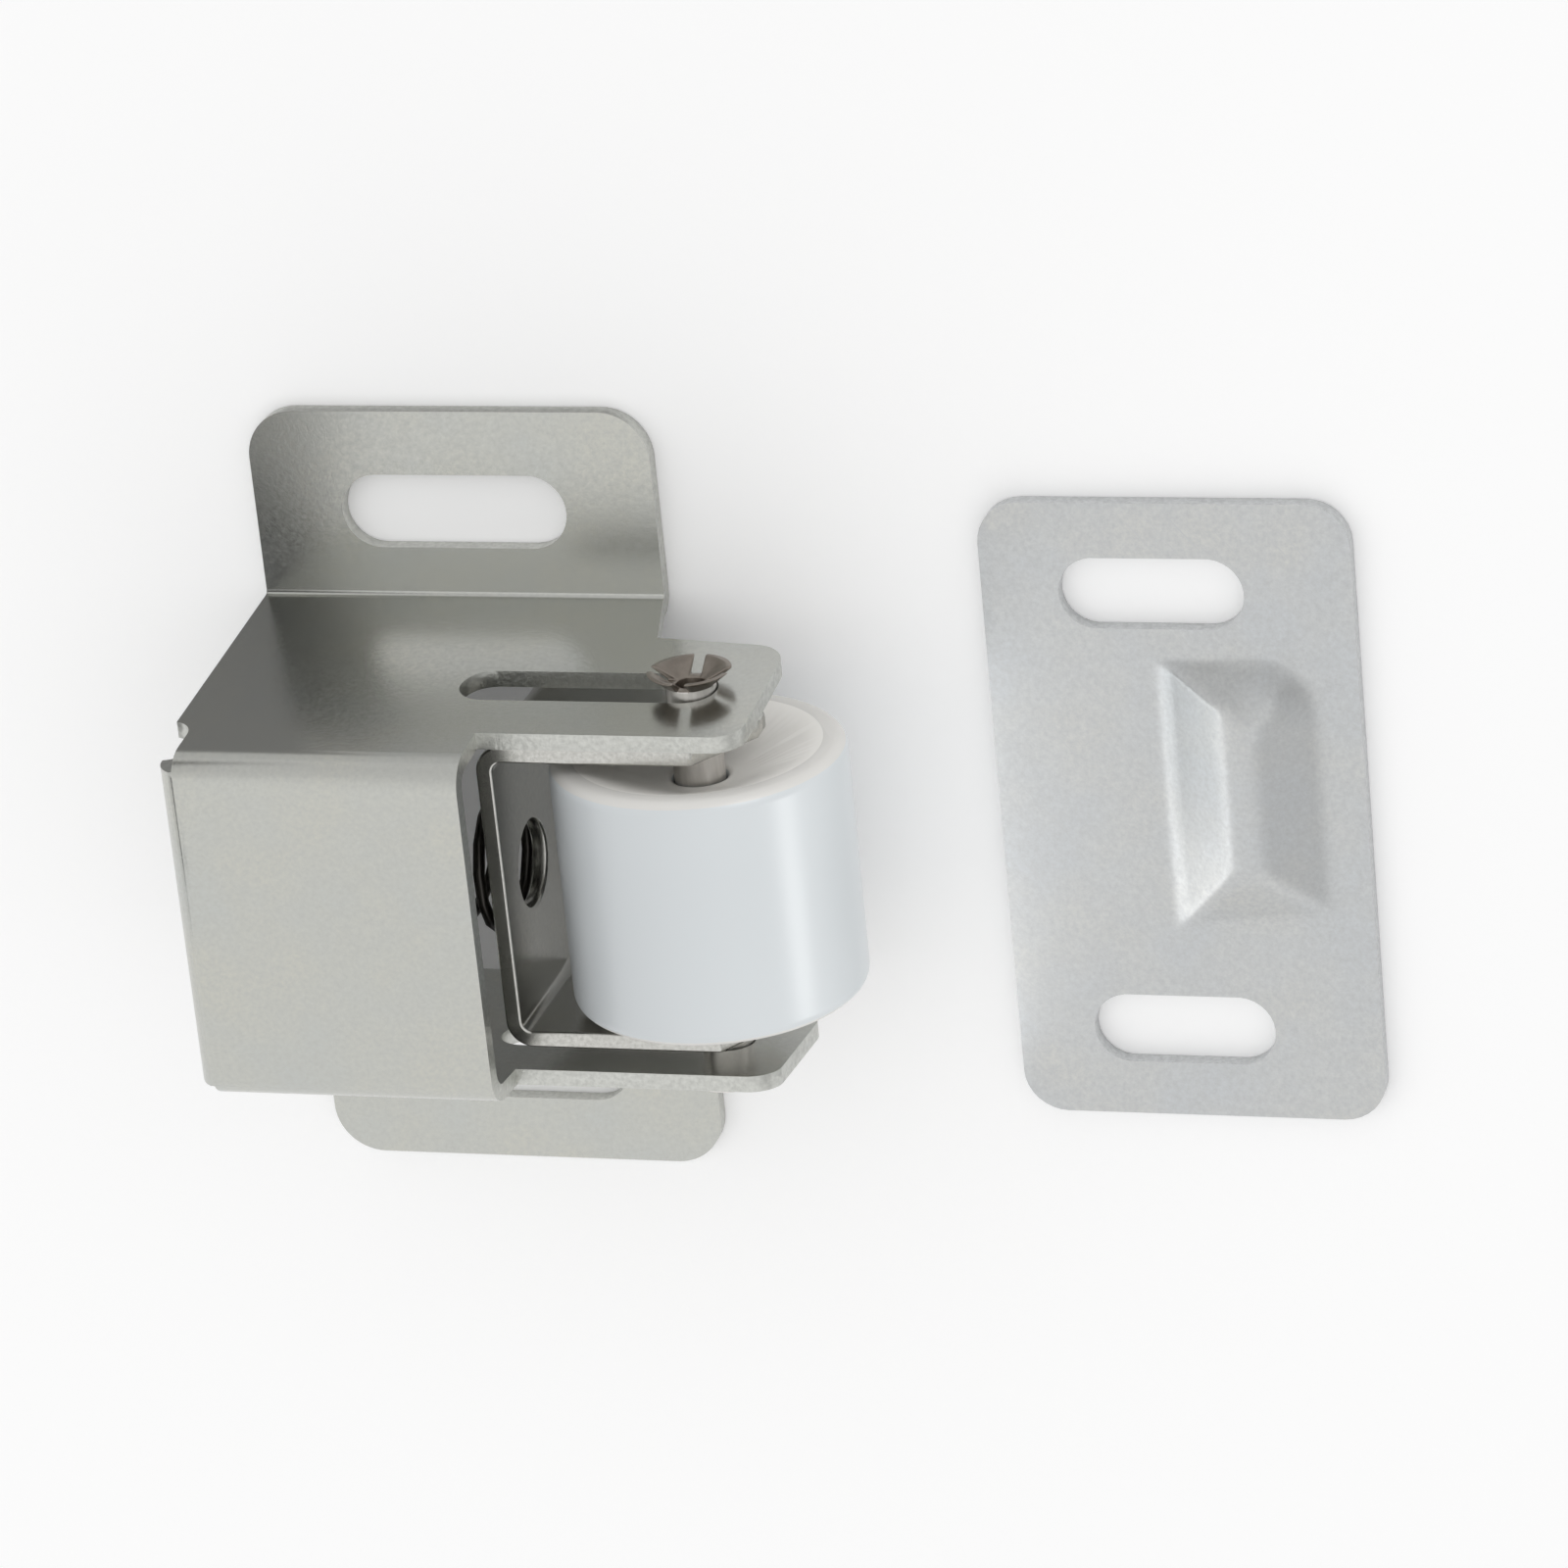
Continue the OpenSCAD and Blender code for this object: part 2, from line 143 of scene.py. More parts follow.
class CatchRidge(bpy.types.PropertyGroup):
    """Shape of the ridge pressed into the strike, measured from the plate's centre"""

    height: FloatProperty(
        name="Height", description="Height of the crest above the plate", unit="LENGTH", default=2.6 * MM,
    )
    shoulder: FloatProperty(
        name="Shoulder", description="Height of the shoulder on the far side", unit="LENGTH",
        default=0.9 * MM,
    )
    shoulder_fall: FloatProperty(
        name="Shoulder fall", description="How fast the shoulder lowers toward the upper end", default=0.03,
    )
    near_foot: FloatProperty(
        name="Near foot", description="Place of the near flank's foot", unit="LENGTH", default=-0.6 * MM,
    )
    crest: FloatProperty(
        name="Crest", description="Place of the crest", unit="LENGTH", default=4.1 * MM,
    )
    far_foot: FloatProperty(
        name="Far foot", description="Place of the shoulder's foot", unit="LENGTH", default=9.0 * MM,
    )
    low_foot: FloatProperty(
        name="Lower foot", description="Place of the lower end's foot, at the near side", unit="LENGTH",
        default=-7.4 * MM,
    )
    low_slope: FloatProperty(
        name="Lower slope", description="Rise of the lower end over its run", default=0.62,
    )
    low_skew: FloatProperty(
        name="Lower skew", description="How fast the lower foot draws in toward the far side", default=0.1,
    )
    high_foot: FloatProperty(
        name="Upper foot", description="Place of the upper end's foot", unit="LENGTH", default=9.8 * MM,
    )
    far_corner: FloatProperty(
        name="Far corner", description="Radius of the far foot's corners", unit="LENGTH", default=4.0 * MM,
    )
    wall_slope: FloatProperty(
        name="Wall slope", description="Rise of the shoulder's wall over its run", default=0.66,
    )
    high_wall: FloatProperty(
        name="Upper wall slope", description="Rise of the wall at the upper end over its run", default=1.3,
    )
    high_slope: FloatProperty(
        name="Upper slope", description="Rise of the upper end over its run", default=0.5,
    )
    high_step: FloatProperty(
        name="Upper step", description="Height of the wall at the upper end", unit="LENGTH",
        default=0.6 * MM,
    )
    near_end: FloatProperty(
        name="Near end", description="Place of the near flank's steep upper end", unit="LENGTH",
        default=9.7 * MM,
    )
    near_end_slope: FloatProperty(
        name="Near end slope", description="Rise of the near flank's upper end over its run", default=3.0,
    )
    near_end_reach: FloatProperty(
        name="Near end reach", description="How far before the crest the steep end stops", unit="LENGTH",
        default=1.0 * MM,
    )
    crest_round: FloatProperty(
        name="Crest round", description="Depth over which flank and back blend at the crest", unit="LENGTH",
        default=2.0 * MM,
    )
    foot_round: FloatProperty(
        name="Foot round", description="Depth over which the ridge blends into the plate", unit="LENGTH",
        default=0.5 * MM,
    )
    wall_round: FloatProperty(
        name="Wall round", description="Depth over which the walls blend into each other", unit="LENGTH",
        default=0.4 * MM,
    )
    cells: IntProperty(
        name="Cells", description="Mesh cells along the ridge", default=110, min=20, max=300,
    )


class CatchStage(bpy.types.PropertyGroup):
    """Camera, floor and light"""

    camera_place: FloatVectorProperty(
        name="Camera place", description="Where the camera stands", subtype="TRANSLATION",
        size=3, default=(0.13372, 0.15747, 0.35939),
    )
    camera_aim: FloatVectorProperty(
        name="Camera aim", description="Point on the floor that the camera looks at", subtype="TRANSLATION",
        size=3, default=(0.018379, 0.000511, 0.0),
    )
    camera_roll: FloatProperty(
        name="Camera roll", description="Turn of the camera about its own line of sight", subtype="ANGLE",
        default=math.radians(-145.944),
    )
    camera_lens: FloatProperty(
        name="Lens", description="Focal length on a 36 mm sensor, in millimetres", default=157.5,
    )
    back_level: FloatProperty(
        name="Back level", description="Brightness of the surroundings toward +Y", subtype="FACTOR",
        default=0.78, min=0.0, max=1.0,
    )
    right_level: FloatProperty(
        name="Right level", description="Brightness of the surroundings toward +X", subtype="FACTOR",
        default=0.68, min=0.0, max=1.0,
    )
    strip_level: FloatProperty(
        name="Strip level", description="Brightness of the strip lamp seen in the roller", default=11.0,
    )
    flank_level: FloatProperty(
        name="Flank level", description="Brightness of the lamp seen in the ridge's near flank", default=0.8,
    )
    crest_level: FloatProperty(
        name="Crest level", description="Brightness of the lamp seen in the ridge's crest", default=0.7,
    )
    fill_level: FloatProperty(
        name="Fill level", description="Brightness of the lamp that fills the roller's far end", default=3.6,
    )
    # Greys of the flags: painted reflections of dark surroundings in the metal, and for the floor, bend and
    # far flags painted shade on the floor as the metal reflects it.
    flag_reflection_grey: FloatProperty(
        name="Flag grey", description="Grey of the flags seen in the upper flange's corner",
        subtype="FACTOR", default=0.1, min=0.0, max=1.0,
    )
    left_reflection_grey: FloatProperty(
        name="Left grey", description="Grey of the flag seen in the upper flange's left edge",
        subtype="FACTOR", default=0.48, min=0.0, max=1.0,
    )
    floor_shadow_grey: FloatProperty(
        name="Floor grey", description="Grey of the flag seen in the upper leg's end", subtype="FACTOR",
        default=0.3, min=0.0, max=1.0,
    )
    bend_shade_grey: FloatProperty(
        name="Bend grey", description="Grey of the flag seen in the upper bend", subtype="FACTOR",
        default=0.66, min=0.0, max=1.0,
    )
    far_shade_grey: FloatProperty(
        name="Far grey", description="Grey of the far flag seen in the upper bend", subtype="FACTOR",
        default=0.78, min=0.0, max=1.0,
    )
    floor_lift: FloatProperty(
        name="Floor lift", description="Share of the floor that shows plain white", subtype="FACTOR",
        default=0.1, min=0.0, max=1.0,
    )


# Mesh helpers


def merged_copy(node):
    """A bmesh of a solid's triangles, welded, with flat faces in one piece"""
    bm = bmesh.new()
    bm.from_mesh(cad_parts[node].data)
    bmesh.ops.remove_doubles(bm, verts=bm.verts, dist=MERGE)
    bmesh.ops.dissolve_degenerate(bm, dist=MERGE, edges=bm.edges)
    bmesh.ops.dissolve_limit(bm, angle_limit=FLAT, verts=bm.verts, edges=bm.edges)
    if not bm.faces:
        raise RuntimeError(f"{node} has no faces left after welding")
    return bm


def mark_sheared_faces(bm):
    """Gives the second material to faces with far more metal behind them than one sheet"""
    tree = BVHTree.FromBMesh(bm)
    largest = {}
    for loops in bm.calc_loop_triangles():
        corners = [loop.vert.co for loop in loops]
        area = area_tri(*corners)
        face = loops[0].face
        if area > largest.get(face, (0.0, None))[0]:
            largest[face] = (area, sum(corners, Vector()) / 3)
    for face, (_, middle) in largest.items():
        inward = -face.normal
        distance = tree.ray_cast(middle + inward * SHEET * JUST_INSIDE, inward)[3]
        if distance is None or distance > CUT_DEPTH * SHEET:
            face.material_index = 1


def finished_piece(bm, name, materials, body, node):
    """An object from a finished bmesh, riding on its body in place of its solid"""
    mesh = bpy.data.meshes.new(name)
    bm.to_mesh(mesh)
    bm.free()
    mesh.shade_smooth()
    piece = bpy.data.objects.new(name, mesh)
    bpy.context.scene.collection.objects.link(piece)
    for material in materials:
        mesh.materials.append(material)
    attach(piece, body)
    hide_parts(node)
    return piece


def round_edges(piece, width, segments=2, angle=35, flat=True):
    """Rounds the sharp edges and, if asked, keeps the flat faces flat in the shading"""
    bevel = piece.modifiers.new("Rounded edges", "BEVEL")
    bevel.width = width
    bevel.segments = segments
    bevel.limit_method = "ANGLE"
    bevel.angle_limit = math.radians(angle)
    bevel.use_clamp_overlap = True
    bevel.miter_outer = "MITER_ARC"
    bevel.harden_normals = False
    if flat:
        faces = piece.modifiers.new("Flat faces", "WEIGHTED_NORMAL")
        faces.weight = 80
        faces.keep_sharp = True


# Materials

# Sizes and depths of the unevenness in each finish
CLOUD = 7 * MM
GRAIN = 0.28 * MM
GRAIN_DEPTH = 0.002 * MM
HAIR = 0.14 * MM
HAIR_STRETCH = (1, 40, 1)
HAIR_TURN = math.radians(40)
WAVE = 14 * MM
WAVE_DEPTH = 0.05 * MM
TOOTH = 0.3 * MM
LINE = 0.3 * MM
LINE_STRETCH = (1, 5, 1)
LINE_DEPTH = 0.003 * MM
NYLON_CLOUD = 11 * MM
NYLON_SHEEN = 7 * MM

# Casts of the plating, roughness of plain steel and how strongly nylon bends light
COOL = (0.97, 0.985, 1.0)
WARM = (1.03, 1.015, 0.97)
STEEL_ROUGHNESS = 0.34
NYLON_IOR = 1.53


class Nodes:
    """A material's node tree with the few links that every finish here shares"""

    def __init__(self, name):
        self.material = bpy.data.materials.new(name)
        self.material.use_nodes = True
        self.tree = self.material.node_tree
        self.tree.nodes.clear()
        self.shader = self.tree.nodes.new("ShaderNodeBsdfPrincipled")
        output = self.tree.nodes.new("ShaderNodeOutputMaterial")
        self.tree.links.new(self.shader.outputs["BSDF"], output.inputs["Surface"])
        self.place = self.tree.nodes.new("ShaderNodeTexCoord").outputs["Object"]

    def link(self, source, target):
        """Joins two sockets"""
        self.tree.links.new(source, target)

    def noise(self, size, detail=3.0, stretch=(1, 1, 1), roughness=0.5, turn=0.0):
        """Noise with features of a given size in metres, drawn out along turned axes"""
        mapping = self.tree.nodes.new("ShaderNodeMapping")
        mapping.vector_type = "TEXTURE"
        mapping.inputs["Scale"].default_value = stretch
        mapping.inputs["Rotation"].default_value = (0, 0, turn)
        self.link(self.place, mapping.inputs["Vector"])
        node = self.tree.nodes.new("ShaderNodeTexNoise")
        node.inputs["Scale"].default_value = 1 / size
        node.inputs["Detail"].default_value = detail
        node.inputs["Roughness"].default_value = roughness
        self.link(mapping.outputs["Vector"], node.inputs["Vector"])
        return node.outputs["Fac"]

    def spread(self, source, low, high, to_low, to_high):
        """Maps a range of values onto another"""
        node = self.tree.nodes.new("ShaderNodeMapRange")
        node.inputs["From Min"].default_value = low
        node.inputs["From Max"].default_value = high
        node.inputs["To Min"].default_value = to_low
        node.inputs["To Max"].default_value = to_high
        self.link(source, node.inputs["Value"])
        return node.outputs["Result"]

    def blend(self, factor, first, second):
        """Colour between two sources, each a colour or a socket"""
        node = self.tree.nodes.new("ShaderNodeMix")
        node.data_type = "RGBA"
        self.link(factor, node.inputs["Factor"])
        for value, socket in ((first, node.inputs["A"]), (second, node.inputs["B"])):
            if isinstance(value, bpy.types.NodeSocket):
                self.link(value, socket)
            else:
                socket.default_value = (*value, 1.0)
        return node.outputs["Result"]

    def bump(self, height, depth, under=None):
        """Relief of a given depth in metres, on top of another relief"""
        node = self.tree.nodes.new("ShaderNodeBump")
        node.inputs["Strength"].default_value = 1.0
        node.inputs["Distance"].default_value = depth
        self.link(height, node.inputs["Height"])
        if under is not None:
            self.link(under, node.inputs["Normal"])
        return node.outputs["Normal"]


def shade(colour, factor):
    """A colour made darker or lighter"""
    return tuple(min(1.0, c * factor) for c in colour)


def tinted(colour, cast):
    """A colour with a cast"""
    return tuple(c * part for c, part in zip(colour, cast))


def plated_sheet(name, colour, roughness, speckle=0.08, scratch=0.0):
    """Bright plating on rolled sheet: slow waves, cloudy tint, fine grain, and hair scratches if asked"""
    n = Nodes(name)
    n.shader.inputs["Metallic"].default_value = 1.0
    cloud = n.spread(n.noise(CLOUD, 5, roughness=0.6), 0.36, 0.64, 0.0, 1.0)
    grain = n.spread(n.noise(GRAIN, 4, roughness=0.65), 0.3, 0.7, 0.0, 1.0)
    tint = n.blend(cloud, tinted(colour, COOL), tinted(colour, WARM))
    plating = n.blend(grain, tint, shade(colour, 1 - speckle))
    if scratch:
        hairs = n.spread(n.noise(HAIR, 1, stretch=HAIR_STRETCH, turn=HAIR_TURN), 0.62, 0.78, 0.0, 1.0)
        plating = n.blend(hairs, plating, shade(colour, 1 - scratch))
    n.link(plating, n.shader.inputs["Base Color"])
    n.link(n.spread(grain, 0.0, 1.0, roughness - 0.03, roughness + 0.05), n.shader.inputs["Roughness"])
    waves = n.bump(n.noise(WAVE, 1), WAVE_DEPTH)
    n.link(n.bump(grain, GRAIN_DEPTH, waves), n.shader.inputs["Normal"])
    return n.material


def sheared_edge(name, colour, roughness=STEEL_ROUGHNESS, depth=0.04 * MM):
    """The slightly uneven cut of a sheared sheet under its plating, its lighter specks partly the cut's own
    tone and partly painted glints
    """
    n = Nodes(name)
    n.shader.inputs["Metallic"].default_value = 1.0
    tooth = n.noise(TOOTH, 3, roughness=0.6)
    specks_and_glints = n.spread(tooth, 0.35, 0.65, 0.0, 1.0)
    # Lighter specks: partly the cut's uneven tone, partly painted glints.
    n.link(n.blend(specks_and_glints, shade(colour, 0.95), shade(colour, 1.15)), n.shader.inputs["Base Color"])
    n.link(n.spread(specks_and_glints, 0.0, 1.0, roughness + 0.07, roughness), n.shader.inputs["Roughness"])
    n.link(n.bump(tooth, depth), n.shader.inputs["Normal"])
    return n.material


def moulded_nylon(name, colour, roughness):
    """White nylon with faint clouding and a slightly uneven sheen"""
    n = Nodes(name)
    cloud = n.spread(n.noise(NYLON_CLOUD, 0), 0.2, 0.8, 0.0, 1.0)
    n.link(n.blend(cloud, shade(colour, 0.98), shade(colour, 1.02)), n.shader.inputs["Base Color"])
    sheen = n.noise(NYLON_SHEEN, 0)
    n.link(n.spread(sheen, 0.2, 0.8, roughness - 0.02, roughness + 0.02), n.shader.inputs["Roughness"])
    n.shader.inputs["IOR"].default_value = NYLON_IOR
    return n.material


def drawn_steel(name, colour, roughness=STEEL_ROUGHNESS):
    """Plain drawn or turned steel with fine lines"""
    n = Nodes(name)
    n.shader.inputs["Metallic"].default_value = 1.0
    lines = n.noise(LINE, 3, stretch=LINE_STRETCH)
    tone = n.blend(n.spread(lines, 0.3, 0.7, 0.0, 1.0), shade(colour, 0.85), colour)
    n.link(tone, n.shader.inputs["Base Color"])
    n.link(n.spread(lines, 0.3, 0.7, roughness - 0.05, roughness + 0.08), n.shader.inputs["Roughness"])
    n.link(n.bump(lines, LINE_DEPTH), n.shader.inputs["Normal"])
    return n.material


# Ridge of the strike

# How the steep end and the upper end draw out along the crest, and how crisp the near corners stay
END_SKEW = 2.0
UPPER_FLARE = 0.6
UPPER_BLEND = 1.0 * MM
CRISP = 0.25


def soft_least(a, b, width):
    """The lesser of two heights, rounded where they meet, a quarter of the width below that point"""
    near = max(width - abs(a - b), 0.0) / width
    return min(a, b) - near * near * width / 4


def ridge_rise(ridge, u, v):
    """Height of the pressed ridge over a point of the plate"""
    peak = ridge.height + ridge.crest_round / 4
    near = peak * (u - ridge.near_foot) / (ridge.crest - ridge.near_foot)
    past_end = max(u - ridge.crest + ridge.near_end_reach, 0.0)
    steep_end = ridge.near_end_slope * (ridge.near_end - v + END_SKEW * past_end)
    shoulder = ridge.shoulder - ridge.shoulder_fall * v
    shoulder_u = ridge.far_foot - shoulder / ridge.wall_slope
    back = peak - (peak - shoulder) * (u - ridge.crest) / (shoulder_u - ridge.crest)
    over_u = max(u - (ridge.far_foot - ridge.far_corner), 0.0)
    over_v = max(v - (ridge.high_foot - ridge.far_corner), 0.0)
    beyond = math.hypot(over_u, over_v)
    turn = (over_u / beyond) ** 2 if beyond else 1.0
    wall = (ridge.wall_slope * turn + ridge.high_wall * (1 - turn)) * (ridge.far_corner - beyond)
    away = ridge.crest - u
    flare = UPPER_FLARE * (away + math.hypot(away, UPPER_BLEND))
    high = ridge.high_step + ridge.high_slope * (ridge.high_foot - v) + flare
    low = ridge.low_slope * (v - ridge.low_foot - ridge.low_skew * (u - ridge.near_foot))
    if not over_u:
        plane = ridge.wall_slope * (ridge.far_foot - u)
        wall = min(wall, plane) if over_v else plane
    far_ends = soft_least(wall, high, ridge.wall_round)
    near_ends = soft_least(steep_end, low, CRISP * ridge.wall_round)
    ends = soft_least(far_ends, near_ends, ridge.wall_round)
    rise = soft_least(soft_least(near, back, ridge.crest_round), ends, ridge.foot_round)
    return -soft_least(-rise, 0.0, ridge.foot_round)


# Operators


class CATCH_OT_housing(bpy.types.Operator):
    """Dresses the folded housing"""

    bl_idname = "catch.housing"
    bl_label = "Housing"

    def execute(self, context):
        metal = context.scene.catch_metal
        bm = merged_copy("housing")
        mark_sheared_faces(bm)
        piece = finished_piece(
            bm, "folded_housing",
            [plated_sheet("Plated housing", metal.nickel, metal.roughness),
             sheared_edge("Sheared housing edge", metal.nickel)],
            "housing_body", "housing",
        )
        round_edges(piece, metal.edge_round)
        return {"FINISHED"}


class CATCH_OT_carrier(bpy.types.Operator):
    """Dresses the roller's carrier"""

    bl_idname = "catch.carrier"
    bl_label = "Roller carrier"

    EDGE_ROUGHNESS = 0.2
    EDGE_DEPTH = 0.002 * MM

    def execute(self, context):
        metal = context.scene.catch_metal
        bm = merged_copy("roller_carrier")
        mark_sheared_faces(bm)
        piece = finished_piece(
            bm, "bent_carrier",
            [plated_sheet("Plated carrier", metal.carrier, metal.roughness),
             sheared_edge("Sheared carrier edge", metal.carrier, self.EDGE_ROUGHNESS, self.EDGE_DEPTH)],
            "carrier", "roller_carrier",
        )
        round_edges(piece, metal.edge_round)
        return {"FINISHED"}


class CATCH_OT_roller(bpy.types.Operator):
    """Dresses the nylon roller"""

    bl_idname = "catch.roller"
    bl_label = "Roller"

    DISH = 0.8
    FACING = 0.5
    ROUND = 0.45 * MM
    DULLER = 0.1

    def execute(self, context):
        nylon = context.scene.catch_nylon
        bm = merged_copy("roller")
        low, high = (Vector(c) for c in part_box("roller"))
        middle = (low + high) / 2
        dish = self.DISH * (high.z - low.z) / 2
        # The ends get copies of the nylon painted warmer and lighter, a painted glow of light through the
        # nylon.
        for face in bm.faces:
            if abs(face.normal.y) > self.FACING:
                on_rim = all((v.co - middle).xz.length > dish for v in face.verts)
                face.material_index = 1 if on_rim else 2
        dull = nylon.roughness + self.DULLER
        piece = finished_piece(
            bm, "nylon_roller",
            [moulded_nylon("White nylon", nylon.white, nylon.roughness),
             moulded_nylon("White nylon rim painted warm", nylon.rim, dull),
             moulded_nylon("White nylon dish painted lighter", nylon.dish, dull)],
            "roller_body", "roller",
        )
        round_edges(piece, self.ROUND, segments=4, flat=False)
        return {"FINISHED"}


class CATCH_OT_axle(bpy.types.Operator):
    """Dresses the axle with its split and spread end"""

    bl_idname = "catch.axle"
    bl_label = "Axle"

    SPREAD = 2.2 * MM
    ROUND = 0.1 * MM

    def execute(self, context):
        metal = context.scene.catch_metal
        bm = merged_copy("axle")
        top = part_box("axle")[1][1]
        for face in bm.faces:
            face.material_index = int(face.calc_center_median().y > top - self.SPREAD)
        piece = finished_piece(
            bm, "staked_axle",
            [drawn_steel("Turned steel", metal.axle), drawn_steel("Raw spread end", metal.spread_end)],
            "carrier", "axle",
        )
        round_edges(piece, self.ROUND)
        return {"FINISHED"}


class CATCH_OT_spring(bpy.types.Operator):
    """Dresses the spring and gives it a mesh of its own; the real spring shortens as the roller slides in"""

    bl_idname = "catch.spring"
    bl_label = "Spring"

    TRAVEL = 12.4 * MM

    def execute(self, context):
        metal = context.scene.catch_metal
        bm = merged_copy("spring")
        # The spring wire is painted nearly black: partly dark steel, partly painted shade for the gap it
        # shows through.
        piece = finished_piece(
            bm, "coil_spring", [drawn_steel("Spring wire", metal.wire)],
            "housing_body", "spring",
        )
        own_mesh(piece)
        return {"FINISHED"}


class CATCH_OT_strike(bpy.types.Operator):
    """Presses the strike plate from one sheet, with its ridge and screw slots"""

    bl_idname = "catch.strike"
    bl_label = "Strike plate"

    CORNER_R = 2.6 * MM
    CORNER_STEPS = 8
    SLOT_L = 11.0 * MM
    SLOT_W = 4.4 * MM
    SLOT_PITCH = 27.8 * MM
    SLOT_SHIFT = -0.9 * MM
    SLOT_STEPS = 32
    MARGIN = 1.5 * MM
    DULLER = 0.1
    SHARP = 50

    def outline(self, bm, centre, width, height):
        """Edges of the plate's rounded outline"""
        before = set(bm.faces)
        made = bmesh.ops.create_grid(
            bm, x_segments=1, y_segments=1, size=0.5,
            matrix=Matrix.Translation(centre) @ Matrix.Diagonal((width, height, 1, 1)),
        )
        bmesh.ops.bevel(
            bm, geom=made["verts"], offset=self.CORNER_R, offset_type="OFFSET", affect="VERTICES",
            segments=self.CORNER_STEPS, profile=0.5, material=-1,
        )
        face = next(f for f in bm.faces if f not in before)
        edges = list(face.edges)
        bmesh.ops.delete(bm, geom=[face], context="FACES_ONLY")
        return edges

    def slot(self, bm, centre):
        """Edges of one screw slot"""
        half_step = Matrix.Rotation(math.pi / self.SLOT_STEPS, 4, "Z")
        made = bmesh.ops.create_circle(
            bm, cap_ends=False, segments=self.SLOT_STEPS, radius=self.SLOT_W / 2,
            matrix=Matrix.Translation(centre) @ half_step,
        )
        for vert in made["verts"]:
            vert.co.x += math.copysign((self.SLOT_L - self.SLOT_W) / 2, vert.co.x - centre.x)
        return list({e for v in made["verts"] for e in v.link_edges})

    def execute(self, context):
        metal = context.scene.catch_metal
        ridge = context.scene.catch_ridge
        low, high = (Vector(c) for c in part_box("strike_plate"))
        centre = Vector(((low.x + high.x) / 2, (low.y + high.y) / 2, SHEET))
        bm = bmesh.new()

        # The patch of plate that takes the ridge
        left = ridge.near_foot - self.MARGIN
        right = ridge.far_foot + self.MARGIN
        below = ridge.low_foot - self.MARGIN
        above = ridge.high_foot + self.MARGIN
        middle = centre + Vector(((left + right) / 2, (below + above) / 2, 0))
        across = round(ridge.cells * (right - left) / (above - below))
        patch = bmesh.ops.create_grid(
            bm, x_segments=across, y_segments=ridge.cells, size=0.5,
            matrix=Matrix.Translation(middle) @ Matrix.Diagonal((right - left, above - below, 1, 1)),
        )["verts"]
        border = [e for e in bm.edges if e.is_boundary]

        # The flat plate round it
        rim = self.outline(bm, centre, high.x - low.x, high.y - low.y)
        for side in (-1, 1):
            rim += self.slot(bm, centre + Vector((self.SLOT_SHIFT, side * self.SLOT_PITCH / 2, 0)))
        bmesh.ops.triangle_fill(
            bm, use_beauty=True, use_dissolve=False, edges=rim + border, normal=(0, 0, 1),
        )
        for vert in patch:
            vert.co.z += ridge_rise(ridge, vert.co.x - centre.x, vert.co.y - centre.y)
        bmesh.ops.recalc_face_normals(bm, faces=bm.faces)
        if sum(f.normal.z for f in bm.faces) < 0:
            bmesh.ops.reverse_faces(bm, faces=bm.faces)
        dull = metal.roughness + self.DULLER
        piece = finished_piece(
            bm, "pressed_strike",
            [plated_sheet("Plated strike", metal.strike, dull, speckle=0.14, scratch=0.1),
             sheared_edge("Sheared strike edge", metal.strike)],
            "housing_body", "strike_plate",
        )
        thick = piece.modifiers.new("Sheet", "SOLIDIFY")
        thick.thickness = SHEET
        thick.offset = -1
        thick.use_even_offset = True
        thick.material_offset_rim = 1
        round_edges(piece, metal.edge_round, angle=self.SHARP)
        return {"FINISHED"}


